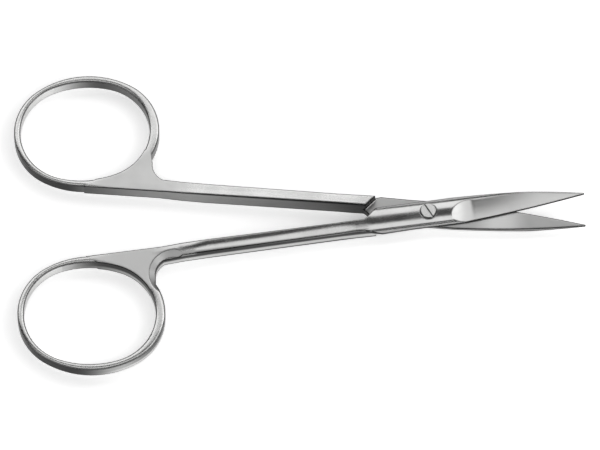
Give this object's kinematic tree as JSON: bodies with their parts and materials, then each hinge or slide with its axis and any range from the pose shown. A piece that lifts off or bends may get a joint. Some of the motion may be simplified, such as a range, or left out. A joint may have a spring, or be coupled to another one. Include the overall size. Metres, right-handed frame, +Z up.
{
  "type": "iris scissors",
  "caption": "Straight iris scissors of satin stainless steel, ring handled, lying slightly open, with a lap joint on a slotted countersunk screw.",
  "frame": {"origin": "under the middle of the bounding box of the pair as it lies, at the height of its lowest point", "axes": "+X from the finger rings to the blade tips, +Y towards the bottom half's ring, +Z up along the pivot"},
  "size_m": [0.1096, 0.0618, 0.0043],
  "materials": {
    "satin_steel": "satin, ground lengthwise",
    "screw_steel": "turned and lightly polished"
  },
  "bodies": {
    "bottom": {"bottom_half": "satin_steel", "pivot_screw": "screw_steel"},
    "top": {"top_half": "satin_steel"}
  },
  "joints": [
    {"name": "pivot", "type": "hinge", "parent": "bottom", "child": "top", "pos_m": [0.02461, 0.00005, 0.00215], "axis": [0, 0, 1], "range_deg": [-12, 78]}
  ]
}
